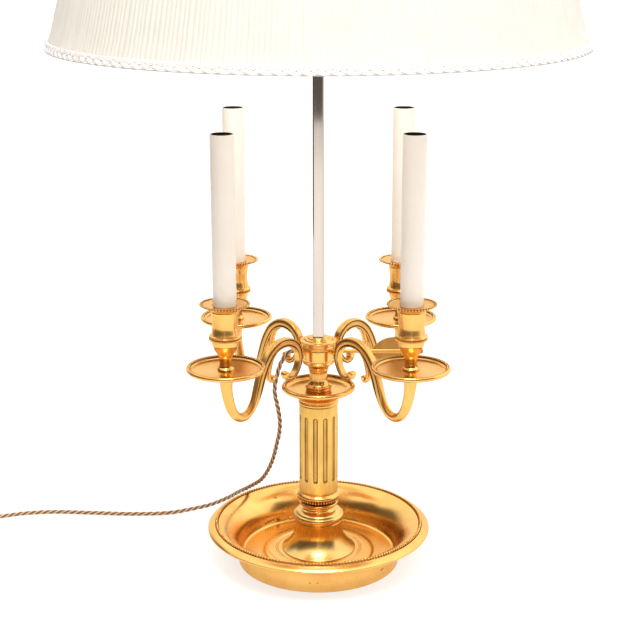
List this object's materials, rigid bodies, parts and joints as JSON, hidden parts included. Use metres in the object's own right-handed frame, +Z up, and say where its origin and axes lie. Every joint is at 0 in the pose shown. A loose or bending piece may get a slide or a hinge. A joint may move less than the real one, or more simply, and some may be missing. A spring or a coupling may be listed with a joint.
{
  "type": "bouillotte lamp",
  "caption": "Table lamp with a dish base, fluted column, scroll arms with candle lights, and a round pleated shade on a square rod that slides and locks with an arrow key.",
  "frame": {"origin": "on the table under the column's axis, below the felt", "axes": "+Z up along the column and rod, +X towards the arrow key, -X towards the cord, -Y towards the viewer"},
  "size_m": [0.8496, 0.5584, 0.8496],
  "materials": {
    "gilt_brass": "satin gilt brass, warm, lightly aged",
    "raw_brass": "plain turned brass",
    "felt": "dark green felt",
    "black_plastic": "matte black",
    "candle_ivory": "ivory, wax-like, slightly glossy",
    "polished_rod": "polished",
    "wire_paint": "ivory paint",
    "shade_silk": "ivory silk in fine vertical gathers",
    "shade_lining_cloth": "smooth ivory lining",
    "gimp_braid": "ivory woven braid",
    "silk_flex": "golden-brown twisted silk flex",
    "brown_plastic": "dark brown, semi-gloss",
    "rocker_plastic": "black, semi-gloss",
    "pin_metal": "nickel plated"
  },
  "bodies": {
    "lamp": {"base_dish": "gilt_brass", "felt_pad": "felt", "base_washer": "raw_brass", "base_nut": "raw_brass", "tie_tube": "raw_brass", "pedestal_bell": "gilt_brass", "pedestal_collar": "gilt_brass", "fluted_column": "gilt_brass", "column_capital": "gilt_brass", "central_drip_pan": "gilt_brass", "urn_stem": "gilt_brass", "urn_body": "gilt_brass", "urn_cap": "gilt_brass", "arm_front_right": "gilt_brass", "arm_back_right": "gilt_brass", "arm_back_left": "gilt_brass", "arm_front_left": "gilt_brass", "drip_pan_front_right": "gilt_brass", "drip_pan_back_right": "gilt_brass", "drip_pan_back_left": "gilt_brass", "drip_pan_front_left": "gilt_brass", "candle_cup_front_right": "gilt_brass", "candle_cup_back_right": "gilt_brass", "candle_cup_back_left": "gilt_brass", "candle_cup_front_left": "gilt_brass", "holder_stems": "raw_brass", "lampholders": "black_plastic", "lampholder_contacts": "raw_brass", "cord_bush": "raw_brass", "cord_lamp_run": "silk_flex", "cord_switch_run": "silk_flex", "cord_coil": "silk_flex", "cord_plug_run": "silk_flex", "switch_base": "brown_plastic", "switch_cover": "brown_plastic", "plug_body": "brown_plastic", "plug_pins": "pin_metal"},
    "rod": {"square_rod": "polished_rod", "rod_stud": "raw_brass", "shade_spider": "raw_brass", "shade_wires": "wire_paint", "shade_cover": "shade_silk", "shade_lining": "shade_lining_cloth", "shade_gimp_bottom": "gimp_braid", "shade_gimp_top": "gimp_braid", "finial": "gilt_brass"},
    "key": {"arrow_key": "gilt_brass"},
    "sleeve_front_right": {"candle_sleeve_front_right": "candle_ivory"},
    "sleeve_back_right": {"candle_sleeve_back_right": "candle_ivory"},
    "sleeve_back_left": {"candle_sleeve_back_left": "candle_ivory"},
    "sleeve_front_left": {"candle_sleeve_front_left": "candle_ivory"},
    "rocker": {"switch_rocker": "rocker_plastic"}
  },
  "joints": [
    {"name": "rod_slide", "type": "slide", "parent": "lamp", "child": "rod", "axis": [0, 0, 1], "range_m": [-0.06, 0.08]},
    {"name": "key_turn", "type": "hinge", "parent": "lamp", "child": "key", "pos_m": [0.05, 0, 0.2455], "axis": [1, 0, 0], "range_deg": [0, 180]},
    {"name": "sleeve_lift_front_right", "type": "slide", "parent": "lamp", "child": "sleeve_front_right", "axis": [0, 0, 1], "range_m": [0, 0.2]},
    {"name": "sleeve_lift_back_right", "type": "slide", "parent": "lamp", "child": "sleeve_back_right", "axis": [0, 0, 1], "range_m": [0, 0.2]},
    {"name": "sleeve_lift_back_left", "type": "slide", "parent": "lamp", "child": "sleeve_back_left", "axis": [0, 0, 1], "range_m": [0, 0.2]},
    {"name": "sleeve_lift_front_left", "type": "slide", "parent": "lamp", "child": "sleeve_front_left", "axis": [0, 0, 1], "range_m": [0, 0.2]},
    {"name": "rocker_press", "type": "hinge", "parent": "lamp", "child": "rocker", "pos_m": [-0.449, 0.1, 0.0094], "axis": [0, 1, 0], "range_deg": [-18, 0]}
  ]
}
